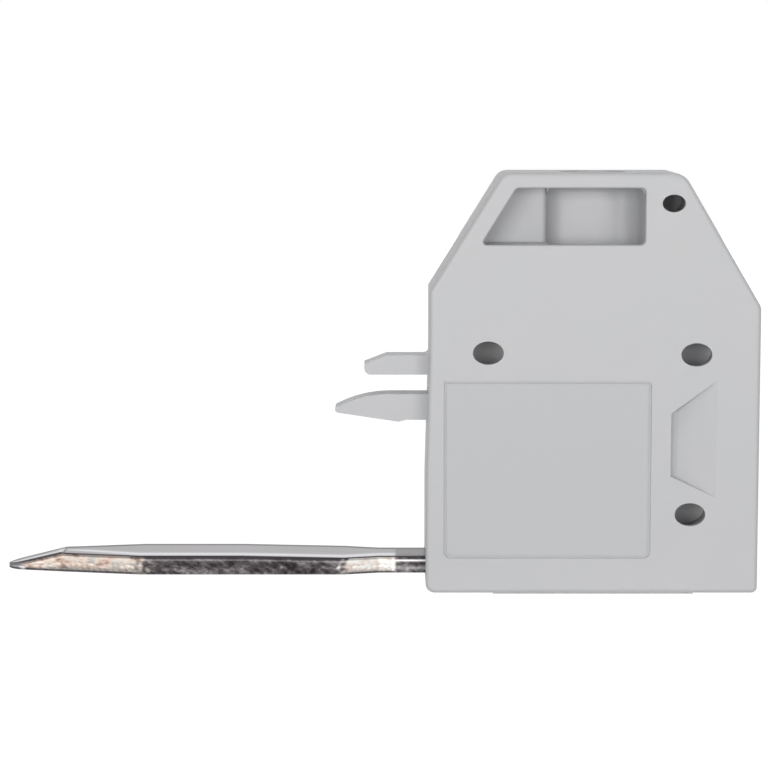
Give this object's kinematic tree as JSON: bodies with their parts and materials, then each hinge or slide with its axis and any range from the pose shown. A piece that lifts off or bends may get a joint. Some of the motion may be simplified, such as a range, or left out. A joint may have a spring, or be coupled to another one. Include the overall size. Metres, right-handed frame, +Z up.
{
  "type": "tap-off terminal block",
  "caption": "Narrow grey moulded terminal block with a long flat plug-in blade, snap prongs and a screw clamp for one branch conductor.",
  "frame": {"origin": "centre of the foot pad's underside, on the clamp screw's axis", "axes": "+X towards the conductor side, away from the blade; +Y from the cover towards the rear wall; +Z up along the clamp screw"},
  "size_m": [0.0736, 0.0102, 0.041],
  "materials": {
    "moulded_grey": "moulded, fine satin",
    "tinned_copper_alloy": "bright tin plate with rough sheared edges",
    "plated_steel": "zinc plated"
  },
  "bodies": {
    "block": {"housing": "moulded_grey", "cover": "moulded_grey", "tap_blade": "tinned_copper_alloy"},
    "screw": {"clamp_screw": "plated_steel"},
    "sleeve": {"clamp_sleeve": "plated_steel"}
  },
  "joints": [
    {"name": "screw_turn", "type": "hinge", "parent": "block", "child": "screw", "pos_m": [0, 0, 0.0302], "axis": [0, 0, -1], "range_deg": [0, 3189]},
    {"name": "sleeve_lift", "type": "slide", "parent": "block", "child": "sleeve", "axis": [0, 0, 1], "range_m": [0, 0.0062]}
  ],
  "couplings": [
    {"joint": "screw_turn", "follows": "sleeve_lift", "rad_per_m": 8976}
  ]
}
